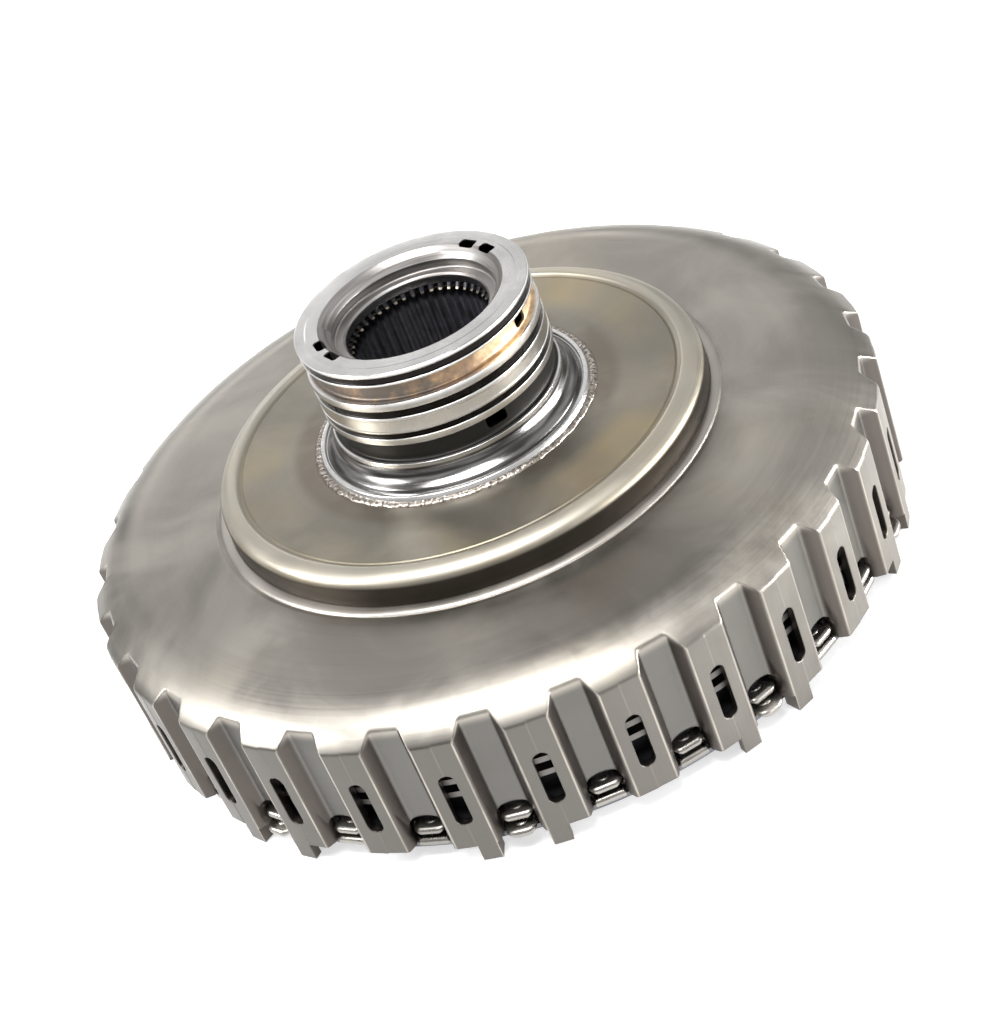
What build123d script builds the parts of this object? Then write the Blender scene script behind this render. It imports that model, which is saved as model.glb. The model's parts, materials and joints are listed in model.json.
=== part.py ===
from build123d import *
import os
from math import cos, radians, sin

# Wet dual-clutch module: a castellated drum on an oil-feed hub holds two nested plate clutches.
# Origin: centre of the circle through the tab tips, which are the lowest points. +Z runs along the
# shaft axis towards the free end of the feed hub. Lengths in millimetres, angles in degrees.

# ---------------------------------------------------------------- driving dimensions: drum
LANDS = 30                     # raised lands round the drum wall
PITCH = 360 / LANDS
LAND_R = 118.0                 # outer radius over the lands
LAND_HALF = 2.9                # half angle of a land's outer face
FLOOR_R = 113.6                # outer radius over the valley floors
FLOOR_HALF = 2.0               # half angle of a valley floor
SHEET = 2.5                    # wall thickness of the pressed parts
FACE_Z = 50.0                  # top of the drum's flat face
SHOULDER_R = 99.0              # where the flat face rolls over into the shoulder
SHOULDER_ARC = 26.6            # radius of the shoulder in section
STEP_R, STEP_H = 77.3, 0.5     # low collar round the opening in the face
LAND_BOTTOM = 5.4              # lower edge of a land
BEND = 1.1                     # bend radius at the corners of a land
WINDOW_W, WINDOW_LOW, WINDOW_TOP = 4.5, 13.6, 31.4
ARCH_HALF, ARCH_SPRING, ARCH_TOP = 4.9, 11.6, 14.5
LOBE_HALF = 4.4                # half width of the lobes that reach through the arches
TAB_FROM, TAB_TO = 0.1, 2.7    # a tab's edges, measured from the middle of its land
TAB_PERIOD = 3                 # lands per tab pair: a plain land, then two with facing tabs

# ---------------------------------------------------------------- driving dimensions: flange and hub
FLANGE_R = 72.6                # outer radius of the raised flange wall
FLANGE_Z = 60.0                # crest of the raised flange
FLANGE_ROLL = 5.0              # outer radius where the crest rolls into the wall
DISC_Z = 59.4                  # the flange's flat, a little below its crest
HUB_BASE_R = 40.6              # where the hub's flare meets the flange
JOURNAL_R = 34.0               # oil-feed journal
HUB_TOP = 98.0
RING_FLOOR_R = 31.2            # floor of the seal ring grooves
RING_GROOVES = ((94.5, 96.6), (83.2, 85.6), (76.2, 78.0))
SPLINE_TIP_R, SPLINE_ROOT_R, SPLINE_TEETH = 19.8, 21.3, 46
SPLINE_LOW, SPLINE_TOP = 66.0, 92.3
PILOT_R, PILOT_TOP, MOUTH_R = 24.0, 95.4, 27.0
SLEEVE_R = 36.0                # sleeve inside the drum that carries both pistons
SLEEVE_BOTTOM = 17.5
BEARING_R, BEARING_TOP = 24.5, 34.0
SHAFT_CLEAR_R = 22.5

# ---------------------------------------------------------------- driving dimensions: clutch packs
PLATES = 4                     # separator plates, and as many friction plates, in each pack
GAP = 0.3                      # clearance on each side of a plate at rest
LINING = 0.55                  # thickness of one friction lining
K1_FOOT_Z, K1_STEEL, K1_FRICTION = 36.8, 1.8, 2.1
K2_FOOT_Z, K2_STEEL, K2_FRICTION = 31.0, 1.4, 1.5
K2_TEETH = 24
FLANK = 0.35                   # angular clearance on a plate's teeth


def polar(radius, angle):
    return (radius * cos(radians(angle)), radius * sin(radians(angle)))


def arc_about_axis(radius, low, high):
    ThreePointArc(polar(radius, low), polar(radius, (low + high) / 2), polar(radius, high))


def toothed_line(crest_r, crest_half, root_r, root_half, teeth):
    """Closed outline of teeth whose crests are centred on multiples of the pitch."""
    pitch = 360 / teeth
    for index in range(teeth):
        crest = pitch * index
        root = crest + pitch / 2
        arc_about_axis(crest_r, crest - crest_half, crest + crest_half)
        Line(polar(crest_r, crest + crest_half), polar(root_r, root - root_half))
        arc_about_axis(root_r, root - root_half, root + root_half)
        Line(polar(root_r, root + root_half), polar(crest_r, crest + pitch - crest_half))


def wall_plane(angle, radius):
    """A plane facing outward at one angle of the wall, with its y axis upward."""
    axis_plane = Plane(origin=(0, 0, 0), x_dir=(*polar(1, angle + 90), 0), z_dir=(*polar(1, angle), 0))
    return axis_plane.offset(radius)


def finish(piece, label):
    """Label a finished piece and write it."""
    piece.part.label = label
    export_step(piece.part, f"parts/{label}.step")


def turned(label, points):
    """A piece turned about Z from a closed outline of (radius, height) points."""
    with BuildPart() as piece:
        with BuildSketch(Plane.XZ):
            with BuildLine():
                Polyline(*points, close=True)
            make_face()
        revolve(axis=Axis.Z)
    finish(piece, label)


def ring(label, inner_r, outer_r, low, top):
    """A plain ring of rectangular section."""
    turned(label, [(inner_r, low), (outer_r, low), (outer_r, top), (inner_r, top)])


def split_ring(label, inner_r, outer_r, low, top, gap_angle, gap_width):
    """A ring of rectangular section, cut through once."""
    with BuildPart() as piece:
        with BuildSketch(Plane.XY.offset(low)):
            Circle(outer_r)
            Circle(inner_r, mode=Mode.SUBTRACT)
            with PolarLocations((inner_r + outer_r) / 2, 1, start_angle=gap_angle):
                Rectangle(2 * (outer_r - inner_r), gap_width, mode=Mode.SUBTRACT)
        extrude(amount=top - low)
    finish(piece, label)


def toothed_ring(label, outer, inner, low, top):
    """A flat plate; outer and inner are each a plain radius or the arguments of toothed_line."""
    with BuildPart() as piece:
        with BuildSketch(Plane.XY.offset(low)):
            for outline, mode in ((outer, Mode.ADD), (inner, Mode.SUBTRACT)):
                if isinstance(outline, tuple):
                    with BuildLine():
                        toothed_line(*outline)
                    make_face(mode=mode)
                else:
                    Circle(outline, mode=mode)
        extrude(amount=top - low)
    finish(piece, label)


def splined_bore(root_r, tip_r, teeth, low, top):
    """Cut the tooth spaces of an internal spline into the piece being built."""
    pitch = 360 / teeth
    with BuildSketch(Plane.XY.offset(low)) as spaces:
        with BuildLine():
            toothed_line(root_r, pitch * 0.2, tip_r, pitch * 0.16, teeth)
        make_face()
    extrude(spaces.sketch, amount=top - low, mode=Mode.SUBTRACT)


os.makedirs("parts", exist_ok=True)

# ================================================================ outer drum
SHOULDER_CENTRE_Z = FACE_Z - SHOULDER_ARC
RING_SLOT = (7.9, 10.7, 116.4)      # groove inside the lands for the end ring: low, top, radius
CLIP_SLOT = (2.2, 4.0, 116.5)       # groove inside the tabs for the drive plate's snap ring


def shoulder_outline(radius, top, inner_r):
    """Section from the open centre, over the flat face and round the shoulder to below the wall."""
    edge_r = SHOULDER_R + radius
    CenterArc((SHOULDER_R, SHOULDER_CENTRE_Z), radius, 0, 90)
    Polyline((SHOULDER_R, top), (inner_r, top), (inner_r, -5), (edge_r, -5), (edge_r, SHOULDER_CENTRE_Z))


def tab_angles():
    """The angles of each tab's two edges, lower first."""
    for index in range(LANDS):
        side = (0, 1, -1)[index % TAB_PERIOD]
        if side:
            yield sorted(PITCH * index + side * turn for turn in (TAB_FROM, TAB_TO))


with BuildPart() as drum_cavity:
    with BuildSketch(Plane.XY.offset(-1)):
        with BuildLine():
            toothed_line(LAND_R, LAND_HALF, FLOOR_R, FLOOR_HALF, LANDS)
        make_face()
        offset(amount=-SHEET, mode=Mode.REPLACE)
    extrude(amount=FACE_Z + 1)
    with BuildSketch(Plane.XZ):
        with BuildLine():
            shoulder_outline(SHOULDER_ARC - SHEET, FACE_Z - SHEET, 0)
        make_face()
    revolve(axis=Axis.Z, mode=Mode.INTERSECT)

with BuildPart() as outer_drum:
    with BuildSketch(Plane.XY.offset(LAND_BOTTOM)) as wall_outline:
        with BuildLine():
            toothed_line(LAND_R, LAND_HALF, FLOOR_R, FLOOR_HALF, LANDS)
        make_face()
        fillet(wall_outline.vertices(), radius=BEND)
    extrude(amount=FACE_Z - LAND_BOTTOM)
    with BuildSketch(Plane.XZ):
        with BuildLine():
            shoulder_outline(SHOULDER_ARC, FACE_Z, FLANGE_R)
        make_face()
    revolve(axis=Axis.Z, mode=Mode.INTERSECT)
    with BuildSketch(Plane.XY.offset(FACE_Z)):
        Circle(STEP_R)
        Circle(FLANGE_R, mode=Mode.SUBTRACT)
    extrude(amount=STEP_H)
    with BuildSketch():
        for low, high in tab_angles():
            with BuildLine():
                Line(polar(LAND_R - SHEET, low), polar(LAND_R, low))
                arc_about_axis(LAND_R, low, high)
                Line(polar(LAND_R, high), polar(LAND_R - SHEET, high))
                arc_about_axis(LAND_R - SHEET, low, high)
            make_face()
    extrude(amount=LAND_BOTTOM)
    add(drum_cavity.part, mode=Mode.SUBTRACT)
    for index in range(LANDS):
        with BuildSketch(wall_plane(PITCH * index, FLOOR_R)):
            with Locations((0, (WINDOW_LOW + WINDOW_TOP) / 2)):
                SlotOverall(WINDOW_TOP - WINDOW_LOW, WINDOW_W, rotation=90)
    extrude(amount=LAND_R - FLOOR_R + 2, mode=Mode.SUBTRACT)
    for index in range(LANDS):
        with BuildSketch(wall_plane(PITCH * (index + 0.5), FLOOR_R - 6)):
            with BuildLine():
                ThreePointArc((-ARCH_HALF, ARCH_SPRING), (0, ARCH_TOP), (ARCH_HALF, ARCH_SPRING))
                Polyline((ARCH_HALF, ARCH_SPRING), (ARCH_HALF, -1), (-ARCH_HALF, -1))
                Line((-ARCH_HALF, -1), (-ARCH_HALF, ARCH_SPRING))
            make_face()
    extrude(amount=LAND_R - FLOOR_R + 8, mode=Mode.SUBTRACT)
    for low, top, radius in (RING_SLOT, CLIP_SLOT):
        with BuildSketch(Plane.XY.offset(low)):
            Circle(radius)
            Circle(FLOOR_R - 6, mode=Mode.SUBTRACT)
        extrude(amount=top - low, mode=Mode.SUBTRACT)
finish(outer_drum, "outer_drum")

# ================================================================ flange, feed hub and their welds
FLANGE_BORE_R = FLANGE_R - SHEET


def corner_near(sketch, radius, height):
    """The corner of a section that is nearest to a point."""
    return sketch.vertices().sort_by(lambda corner: abs(corner.X - radius) + abs(corner.Y - height))[0]


with BuildPart() as hub_flange:
    with BuildSketch(Plane.XZ) as flange_section:
        with BuildLine():
            Polyline(
                (FLANGE_R, FACE_Z - SHEET), (FLANGE_R, FLANGE_Z), (FLANGE_R - 6.0, FLANGE_Z),
                (FLANGE_R - 7.4, DISC_Z), (HUB_BASE_R, DISC_Z), (HUB_BASE_R, DISC_Z - SHEET),
                (FLANGE_BORE_R, DISC_Z - SHEET), (FLANGE_BORE_R, FACE_Z - SHEET), close=True,
            )
        make_face()
        fillet(corner_near(flange_section, FLANGE_R, FLANGE_Z), radius=FLANGE_ROLL)
        fillet(corner_near(flange_section, FLANGE_BORE_R, DISC_Z - SHEET), radius=FLANGE_ROLL - SHEET)
    revolve(axis=Axis.Z)
finish(hub_flange, "hub_flange")

# laser weld at the foot of the flange wall, and the bead round the hub
turned("flange_weld", [
    (FLANGE_R, FACE_Z + STEP_H), (FLANGE_R + 1.5, FACE_Z + STEP_H), (FLANGE_R + 1.3, FACE_Z + STEP_H + 0.3),
    (FLANGE_R + 0.5, FACE_Z + STEP_H + 0.6), (FLANGE_R, FACE_Z + STEP_H + 0.9),
])
turned("hub_weld", [
    (HUB_BASE_R, DISC_Z), (HUB_BASE_R + 2.6, DISC_Z), (HUB_BASE_R + 2.3, DISC_Z + 0.5),
    (HUB_BASE_R + 1.4, DISC_Z + 0.9), (HUB_BASE_R, DISC_Z + 0.7),
])

OIL_GROOVES = ((88.0, 93.8, 31.8), (67.5, 74.2, 32.3))
FLARE_TOP = 66.0
SEAL_SLOTS = ((51.2, 52.6), (32.2, 33.6))     # inner piston seals sit in these sleeve grooves
SEAL_FLOOR_R = 34.4
CIRCLIP_LOW, CIRCLIP_TOP, CIRCLIP_FLOOR_R = 18.9, 20.3, 34.8
FEED_R, FEED_HOLE_R = 28.5, 1.5
K1_FEED_Z, K2_FEED_Z = 55.6, 36.4
K1_FEED_ANGLE, K2_FEED_ANGLE = 90, 0
SLOT_PAIRS = (44.0, -150.0)    # middles of the two pairs of slots in the hub's end face
SLOT_SPREAD = 8.2

with BuildPart() as feed_hub:
    with BuildSketch(Plane.XZ) as hub_section:
        with BuildLine():
            Line((MOUTH_R, HUB_TOP), (JOURNAL_R, HUB_TOP))
            Line((JOURNAL_R, HUB_TOP), (JOURNAL_R, FLARE_TOP))
            ThreePointArc((JOURNAL_R, FLARE_TOP), (35.6, 62.4), (HUB_BASE_R, DISC_Z + 0.7))
            Polyline(
                (HUB_BASE_R, DISC_Z + 0.7), (HUB_BASE_R, DISC_Z - SHEET), (SLEEVE_R, DISC_Z - SHEET),
                (SLEEVE_R, SLEEVE_BOTTOM), (BEARING_R, SLEEVE_BOTTOM), (BEARING_R, BEARING_TOP),
                (SHAFT_CLEAR_R, BEARING_TOP), (SHAFT_CLEAR_R, SPLINE_LOW - 2), (SPLINE_TIP_R, SPLINE_LOW),
                (SPLINE_TIP_R, SPLINE_TOP), (PILOT_R, SPLINE_TOP), (PILOT_R, PILOT_TOP), (MOUTH_R, HUB_TOP),
            )
        make_face()
        chamfer(corner_near(hub_section, JOURNAL_R, HUB_TOP), length=0.4)
    revolve(axis=Axis.Z)
    groove_sections = [(low, top, RING_FLOOR_R, JOURNAL_R) for low, top in RING_GROOVES]
    groove_sections += [(low, top, floor_r, JOURNAL_R) for low, top, floor_r in OIL_GROOVES]
    groove_sections += [(low, top, SEAL_FLOOR_R, SLEEVE_R) for low, top in SEAL_SLOTS]
    groove_sections += [(CIRCLIP_LOW, CIRCLIP_TOP, CIRCLIP_FLOOR_R, SLEEVE_R)]
    for low, top, floor_r, outer_r in groove_sections:
        with BuildSketch(Plane.XZ):
            with Locations(((floor_r + outer_r + 1) / 2, (low + top) / 2)):
                Rectangle(outer_r + 1 - floor_r, top - low)
    revolve(axis=Axis.Z, mode=Mode.SUBTRACT)
    splined_bore(SPLINE_ROOT_R, SPLINE_TIP_R - 0.5, SPLINE_TEETH, SPLINE_LOW - 2, SPLINE_TOP)
    # driving slots in the end face
    with BuildSketch(Plane.XY.offset(HUB_TOP)):
        for middle in SLOT_PAIRS:
            for side in (-1, 1):
                with PolarLocations(27.7, 1, start_angle=middle + side * SLOT_SPREAD):
                    RectangleRounded(3.0, 5.4, 0.8)
    extrude(amount=-3.4, mode=Mode.SUBTRACT)
    # oil passages: ports in the grooves, drillings down the wall, and ports into the piston chambers
    with BuildSketch(wall_plane(-24, FEED_R)):
        with Locations((0, 90.6)):
            RectangleRounded(5.6, 3.6, 0.8)
    with BuildSketch(wall_plane(-60, FEED_R)):
        with Locations((0, 71.4)):
            RectangleRounded(6.4, 3.4, 0.8)
    extrude(amount=SLEEVE_R - FEED_R, mode=Mode.SUBTRACT)
    for first, groove_z, feed_z in ((K1_FEED_ANGLE, 90.9, K1_FEED_Z), (K2_FEED_ANGLE, 70.9, K2_FEED_Z)):
        with BuildSketch(Plane.XY.offset(feed_z)):
            with PolarLocations(FEED_R, 2, start_angle=first):
                Circle(FEED_HOLE_R)
        extrude(amount=groove_z - feed_z, mode=Mode.SUBTRACT)
        for angle in (first, first + 180):
            for height in (groove_z, feed_z):
                with BuildSketch(wall_plane(angle, FEED_R)):
                    with Locations((0, height)):
                        Circle(FEED_HOLE_R)
        extrude(amount=SLEEVE_R - FEED_R + 1, mode=Mode.SUBTRACT)
finish(feed_hub, "feed_hub")

# sprung-out sealing rings, one in each ring groove, each with one butt gap
SEAL_RING_R = 33.5               # as held in by the housing bore
SEAL_RING_IN = RING_FLOOR_R + 0.3
with BuildPart() as seal_rings:
    for number, (low, top) in enumerate(RING_GROOVES):
        with BuildSketch(Plane.XY.offset(low + 0.1)):
            Circle(SEAL_RING_R)
            Circle(SEAL_RING_IN, mode=Mode.SUBTRACT)
            with PolarLocations(JOURNAL_R, 1, start_angle=150 + 70 * number):
                Rectangle(8, 0.5, mode=Mode.SUBTRACT)
        extrude(amount=top - low - 0.2)
finish(seal_rings, "seal_rings")

# ================================================================ input side
PLATE_LOW, PLATE_TOP = 4.2, 6.8
INPUT_R = 32.0                 # where the drive plate meets the input hub
ARCH_LOBE_R = 115.1            # also the drive plate's land teeth
TAB_LOBE_R = 117.4
BASE_R = 110.6                 # between the lobes, clear of the wall's folds
LOBE_ROOT_R = BASE_R - 3
LAND_TOOTH_HALF = 3.9           # half width of a tooth in a land pocket
INPUT_SPLINE_R = 21.4


def lobed_plate(label, tooth_r, lobe_tips, inner_r, low, top):
    """A disc with teeth for the land pockets and a lobe in each arch; lobe_tips repeat round it."""
    with BuildPart() as piece:
        with BuildSketch(Plane.XY.offset(low)):
            Circle(BASE_R)
            for index in range(LANDS):
                tip_r, is_round = lobe_tips[index % len(lobe_tips)]
                angle = PITCH * (index + 0.5)
                reach = tip_r - LOBE_HALF if is_round else tip_r
                with PolarLocations((LOBE_ROOT_R + reach) / 2, 1, start_angle=angle):
                    Rectangle(reach - LOBE_ROOT_R, 2 * LOBE_HALF)
                if is_round:
                    with PolarLocations(reach, 1, start_angle=angle):
                        Circle(LOBE_HALF)
                with PolarLocations((LOBE_ROOT_R + tooth_r) / 2, 1, start_angle=PITCH * index):
                    Rectangle(tooth_r - LOBE_ROOT_R, 2 * LAND_TOOTH_HALF)
            Circle(inner_r, mode=Mode.SUBTRACT)
        extrude(amount=top - low)
    finish(piece, label)


STRAIGHT, ROUND, TAB_ROUND = (ARCH_LOBE_R, False), (ARCH_LOBE_R, True), (TAB_LOBE_R, True)
lobed_plate("drive_plate", ARCH_LOBE_R, (STRAIGHT, TAB_ROUND, STRAIGHT), INPUT_R, PLATE_LOW, PLATE_TOP)

with BuildPart() as input_hub:
    with BuildSketch(Plane.XZ):
        with BuildLine():
            Polyline(
                (20.2, 0.6), (27.4, 0.6), (28.0, 1.2), (28.0, 3.6), (INPUT_R, 3.6), (INPUT_R, PLATE_TOP),
                (20.2, PLATE_TOP), close=True,
            )
        make_face()
    revolve(axis=Axis.Z)
    splined_bore(INPUT_SPLINE_R, 20.0, 36, 0.6, PLATE_TOP)
finish(input_hub, "input_hub")
turned("input_weld", [
    (INPUT_R - 1.4, 3.6), (INPUT_R, 3.6), (INPUT_R, PLATE_LOW), (INPUT_R + 1.2, PLATE_LOW),
    (INPUT_R + 0.6, 3.4), (INPUT_R - 0.8, 3.1),
])

# snap ring under the drive plate, with an ear for each tab groove
with BuildPart() as drive_snap_ring:
    with BuildSketch(Plane.XY.offset(CLIP_SLOT[0] + 0.1)):
        Circle(113.0)
        for low, high in tab_angles():
            with PolarLocations((112 + CLIP_SLOT[2] - 0.2) / 2, 1, start_angle=(low + high) / 2):
                Rectangle(CLIP_SLOT[2] - 0.2 - 112, 4.0)
        Circle(109.0, mode=Mode.SUBTRACT)
        with PolarLocations(111, 1, start_angle=PITCH * 12):
            Rectangle(6, 7, mode=Mode.SUBTRACT)
    extrude(amount=CLIP_SLOT[1] - CLIP_SLOT[0] - 0.2)
finish(drive_snap_ring, "drive_snap_ring")
split_ring("input_thrust_washer", 20.4, 27.0, PLATE_TOP + 0.1, 7.7, 30, 0.4)

# ================================================================ first (outer) clutch
END_RING_BORE_R = 99.0
END_RING_TOOTH_R = RING_SLOT[2] - 0.2
END_RING_LOW, END_RING_HIGH = RING_SLOT[0] + 0.1, RING_SLOT[1] - 0.1
lobed_plate("k1_end_ring", END_RING_TOOTH_R, (ROUND,), END_RING_BORE_R, END_RING_LOW, END_RING_HIGH)

LAND_TOOTH = (115.1, 2.0, BASE_R, 2.95, LANDS)
K1_INNER_R, K1_LINING_IN, K1_LINING_OUT, K1_CORE_R = 97.6, 98.2, 109.2, 109.4
K1_CREST = (95.1, 2.3, 92.2, 2.6, LANDS)
K1_CORE_BORE = (95.6, 2.3 + FLANK, 92.7, 2.6 - FLANK, LANDS)
END_PLATE_TEETH_TOP = 13.2
END_PLATE_TOP = 18.5

with BuildPart() as k1_end_plate:
    with BuildSketch(Plane.XY.offset(RING_SLOT[1] + 0.1)):
        with BuildLine():
            toothed_line(*LAND_TOOTH)
        make_face()
        Circle(K1_INNER_R - 1, mode=Mode.SUBTRACT)
    extrude(amount=END_PLATE_TEETH_TOP - RING_SLOT[1] - 0.1)
    with BuildSketch(Plane.XY.offset(END_PLATE_TEETH_TOP)):
        Circle(BASE_R)
        Circle(K1_INNER_R - 1, mode=Mode.SUBTRACT)
    extrude(amount=END_PLATE_TOP - END_PLATE_TEETH_TOP)
finish(k1_end_plate, "k1_end_plate")


def clutch_pack(name, foot_z, steel, friction, tooth, inner_r, core_r, core_bore, lining_in, lining_out):
    """Separator and friction plates in turn, numbered downward from the piston's foot."""
    top = foot_z
    for number in range(1, PLATES + 1):
        top -= GAP
        toothed_ring(f"{name}_separator_plate_{number}", tooth, inner_r, top - steel, top)
        top -= steel + GAP
        core_low, core_top = top - friction + LINING, top - LINING
        toothed_ring(f"{name}_friction_core_{number}", core_r, core_bore, core_low, core_top)
        with BuildPart() as linings:
            for low in (top - LINING, top - friction):
                with BuildSketch(Plane.XY.offset(low)):
                    Circle(lining_out)
                    Circle(lining_in, mode=Mode.SUBTRACT)
            extrude(amount=LINING)
        finish(linings, f"{name}_friction_lining_{number}")
        top -= friction


clutch_pack("k1", K1_FOOT_Z, K1_STEEL, K1_FRICTION, LAND_TOOTH, K1_INNER_R,
            K1_CORE_R, K1_CORE_BORE, K1_LINING_IN, K1_LINING_OUT)

# inner carrier: splined drum on a web, round its own hub
K1_WEB_LOW, K1_WEB_TOP = 8.2, 10.4
K1_HUB_R, K1_HUB_TIP_R, K1_HUB_ROOT_R = 17.5, 10.2, 11.4
K1_FLANGE_R = 24.0
with BuildPart() as k1_inner_carrier:
    with BuildSketch(Plane.XY.offset(K1_WEB_LOW)):
        with BuildLine():
            toothed_line(*K1_CREST)
        make_face()
        Circle(88.5, mode=Mode.SUBTRACT)
    extrude(amount=38.0 - K1_WEB_LOW)
    with BuildSketch(Plane.XY.offset(K1_WEB_LOW)):
        Circle(88.5)
        Circle(K1_FLANGE_R, mode=Mode.SUBTRACT)
    extrude(amount=K1_WEB_TOP - K1_WEB_LOW)
finish(k1_inner_carrier, "k1_inner_carrier")
with BuildPart() as k1_shaft_hub:
    with BuildSketch(Plane.XZ):
        with BuildLine():
            Polyline(
                (K1_HUB_TIP_R, 7.8), (K1_FLANGE_R, 7.8), (K1_FLANGE_R, 11.6), (K1_HUB_R, 11.6),
                (K1_HUB_R, 16.4), (K1_HUB_TIP_R, 16.4), close=True,
            )
        make_face()
    revolve(axis=Axis.Z)
    splined_bore(K1_HUB_ROOT_R, K1_HUB_TIP_R - 0.3, 24, 7.8, 16.4)
finish(k1_shaft_hub, "k1_shaft_hub")
ring("shaft_thrust_washer", 18.4, 23.8, 11.6, 12.4)

# the piston: a ring that slides inside the flange, stepping out over the pack
PISTON_R = FLANGE_BORE_R - 0.3
PISTON_GROOVE_R = PISTON_R - 1.8
PISTON_WALL_IN, PISTON_WALL_OUT = PISTON_R - 5.3, PISTON_R - 2.8
turned("k1_piston", [
    (SLEEVE_R + 0.2, 49.8), (40.0, 49.8), (40.0, 51.0), (PISTON_WALL_IN, 51.0), (PISTON_WALL_IN, 42.5),
    (104.9, 42.5), (104.9, 38.9), (101.0, 38.9), (101.0, K1_FOOT_Z), (107.6, K1_FOOT_Z), (107.6, 44.2),
    (106.8, 45.0), (PISTON_WALL_OUT, 45.0), (PISTON_WALL_OUT, 48.9), (PISTON_R, 48.9), (PISTON_R, 50.3),
    (PISTON_GROOVE_R, 50.3), (PISTON_GROOVE_R, 52.7), (PISTON_R, 52.7), (PISTON_R, 54.4),
    (PISTON_WALL_OUT, 54.4), (PISTON_WALL_OUT - 1.0, 53.4), (40.0, 53.4), (40.0, 54.3),
    (SLEEVE_R + 0.2, 54.3),
])
ring("k1_outer_seal", PISTON_GROOVE_R + 0.1, PISTON_R + 0.1, 50.4, 52.6)
ring("k1_inner_seal", SEAL_FLOOR_R, SLEEVE_R + 0.04, SEAL_SLOTS[0][0] + 0.05, SEAL_SLOTS[0][1] - 0.05)
turned("k1_return_spring", [(54.0, 39.6), (72.0, 41.35), (72.0, 42.45), (54.0, 40.7)])

# ================================================================ second (inner) clutch
CARRIER_TOP, CARRIER_WEB, CARRIER_LOW = 39.5, 37.0, 11.4
CARRIER_R, CARRIER_BORE_R = 87.4, 82.0
K2_RING_LOW, K2_RING_TOP, K2_RING_R = 12.0, 13.5, 84.0
with BuildPart() as k2_outer_carrier:
    with BuildSketch(Plane.XZ):
        with BuildLine():
            Polyline(
                (SLEEVE_R, CARRIER_TOP), (CARRIER_R, CARRIER_TOP), (CARRIER_R, CARRIER_LOW),
                (CARRIER_BORE_R, CARRIER_LOW), (CARRIER_BORE_R, CARRIER_WEB), (SLEEVE_R, CARRIER_WEB),
                close=True,
            )
        make_face()
    revolve(axis=Axis.Z)
    with BuildSketch(Plane.XY.offset(CARRIER_LOW)):
        with BuildLine():
            toothed_line(85.4, 3.4, CARRIER_BORE_R - 0.6, 3.1, K2_TEETH)
        make_face()
    extrude(amount=K2_FOOT_Z - CARRIER_LOW, mode=Mode.SUBTRACT)
    with BuildSketch(Plane.XY.offset(K2_RING_LOW)):
        Circle(K2_RING_R)
    extrude(amount=K2_RING_TOP - K2_RING_LOW, mode=Mode.SUBTRACT)
finish(k2_outer_carrier, "k2_outer_carrier")
split_ring("k2_snap_ring", 79.4, K2_RING_R - 0.2, K2_RING_LOW + 0.1, K2_RING_TOP - 0.1, 100, 8)

K2_TOOTH = (85.0, 3.05, 81.5, 3.5, K2_TEETH)
K2_INNER_R, K2_LINING_IN, K2_LINING_OUT, K2_CORE_R = 69.2, 69.6, 80.4, 80.6
K2_CREST = (68.1, 2.9, 65.3, 3.3, K2_TEETH)
K2_CORE_BORE = (68.6, 2.9 + FLANK, 65.8, 3.3 - FLANK, K2_TEETH)
toothed_ring("k2_end_plate", K2_TOOTH, K2_INNER_R, K2_RING_TOP, 16.7)
clutch_pack("k2", K2_FOOT_Z, K2_STEEL, K2_FRICTION, K2_TOOTH, K2_INNER_R,
            K2_CORE_R, K2_CORE_BORE, K2_LINING_IN, K2_LINING_OUT)

turned("k2_piston", [
    (SLEEVE_R + 0.2, 31.0), (40.0, 31.0), (40.0, 32.8), (58.3, 32.8), (58.3, 19.6), (60.5, 19.6),
    (60.5, 32.8), (70.4, 32.8), (70.4, K2_FOOT_Z), (80.0, K2_FOOT_Z), (81.7, 32.0), (81.7, 32.6),
    (80.0, 32.6), (80.0, 34.6), (81.7, 34.6), (81.7, 35.9), (72.0, 35.9), (70.6, 35.1), (40.0, 35.1),
    (40.0, 35.7), (SLEEVE_R + 0.2, 35.7),
])
ring("k2_outer_seal", 80.1, 81.8, 32.7, 34.5)
ring("k2_inner_seal", SEAL_FLOOR_R, SLEEVE_R + 0.04, SEAL_SLOTS[1][0] + 0.05, SEAL_SLOTS[1][1] - 0.05)

# balance piston on the sleeve, with its lip seal inside the piston's skirt
turned("k2_balance_piston", [
    (SLEEVE_R, 20.4), (57.6, 20.4), (57.6, 21.6), (56.2, 21.6), (56.2, 23.4), (57.6, 23.4),
    (57.6, 24.8), (54.4, 24.8), (54.4, 22.6), (SLEEVE_R, 22.6),
])
ring("k2_balance_seal", 56.2, 58.1, 21.7, 23.3)
split_ring("k2_balance_snap_ring", CIRCLIP_FLOOR_R + 0.1, 38.6, CIRCLIP_LOW + 0.1, CIRCLIP_TOP - 0.1, 45, 5)

# helical return springs between the balance piston and the piston
SPRINGS, SPRING_CIRCLE_R, SPRING_R, WIRE_R, SPRING_TURNS = 12, 48.0, 3.0, 0.55, 4
SPRING_LOW, SPRING_TOP = 22.7, 32.7
with BuildPart() as k2_return_springs:
    height = SPRING_TOP - SPRING_LOW - 2 * WIRE_R
    for centre in PolarLocations(SPRING_CIRCLE_R, SPRINGS):
        x, y, _ = centre.position
        with BuildLine() as coil:
            Helix(height / SPRING_TURNS, height, SPRING_R, center=(x, y, SPRING_LOW + WIRE_R))
        with BuildSketch(Plane(coil.line @ 0, z_dir=coil.line % 0)):
            Circle(WIRE_R)
        sweep(path=coil.line)
finish(k2_return_springs, "k2_return_springs")

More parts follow.
